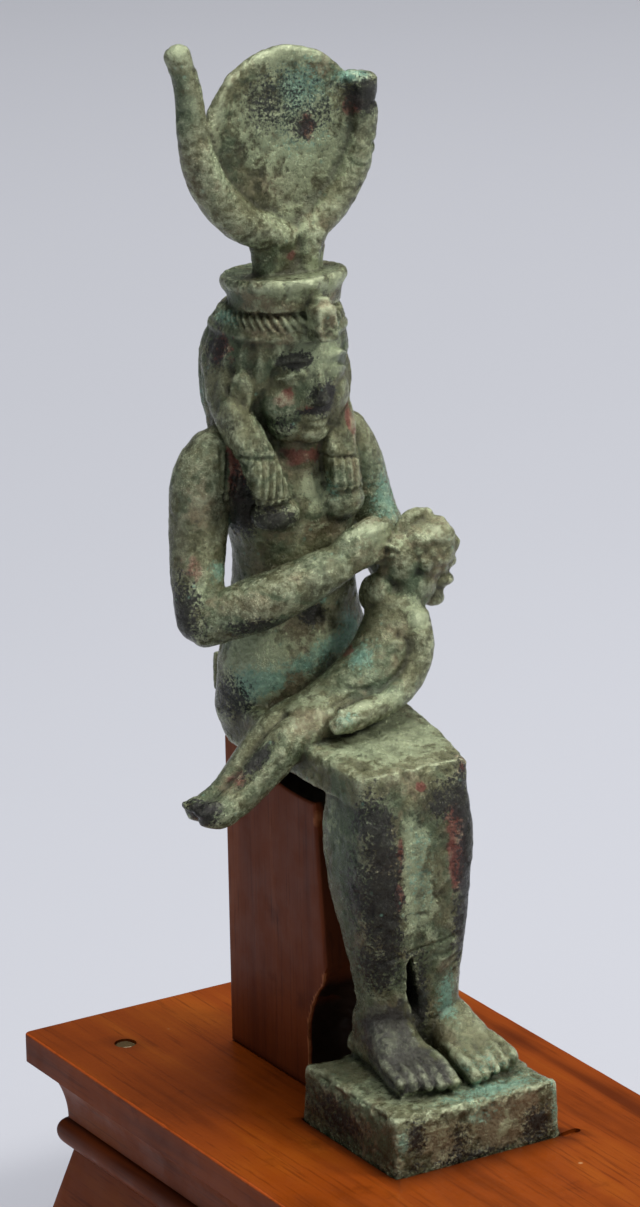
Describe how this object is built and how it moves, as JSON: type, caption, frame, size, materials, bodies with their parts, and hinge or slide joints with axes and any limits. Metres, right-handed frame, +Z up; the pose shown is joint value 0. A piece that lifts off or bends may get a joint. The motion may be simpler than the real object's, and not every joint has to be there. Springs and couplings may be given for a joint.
{
  "type": "isis and horus figure",
  "caption": "Small cast bronze of a seated goddess nursing a child, with horned disc headdress, held by a post on a moulded wooden stand.",
  "frame": {"origin": "middle of the stand's underside", "axes": "+Z up, the figure faces -Y, its own right hand lies on -X"},
  "size_m": [0.08, 0.135, 0.2407],
  "materials": {
    "bronze": "aged cast bronze, mottled pale green, olive and black patina with red and turquoise spots",
    "post_wood": "red-brown hardwood, satin varnish, upright grain",
    "board_wood": "orange-brown hardwood, satin varnish, small chips",
    "filler": "dull brown wood filler, a little sunken"
  },
  "bodies": {
    "root": {"isis_and_horus": "bronze", "seat_post": "post_wood", "cornice_board": "board_wood", "hole_filler": "filler", "bead_board": "board_wood", "battered_body": "board_wood"}
  },
  "joints": []
}
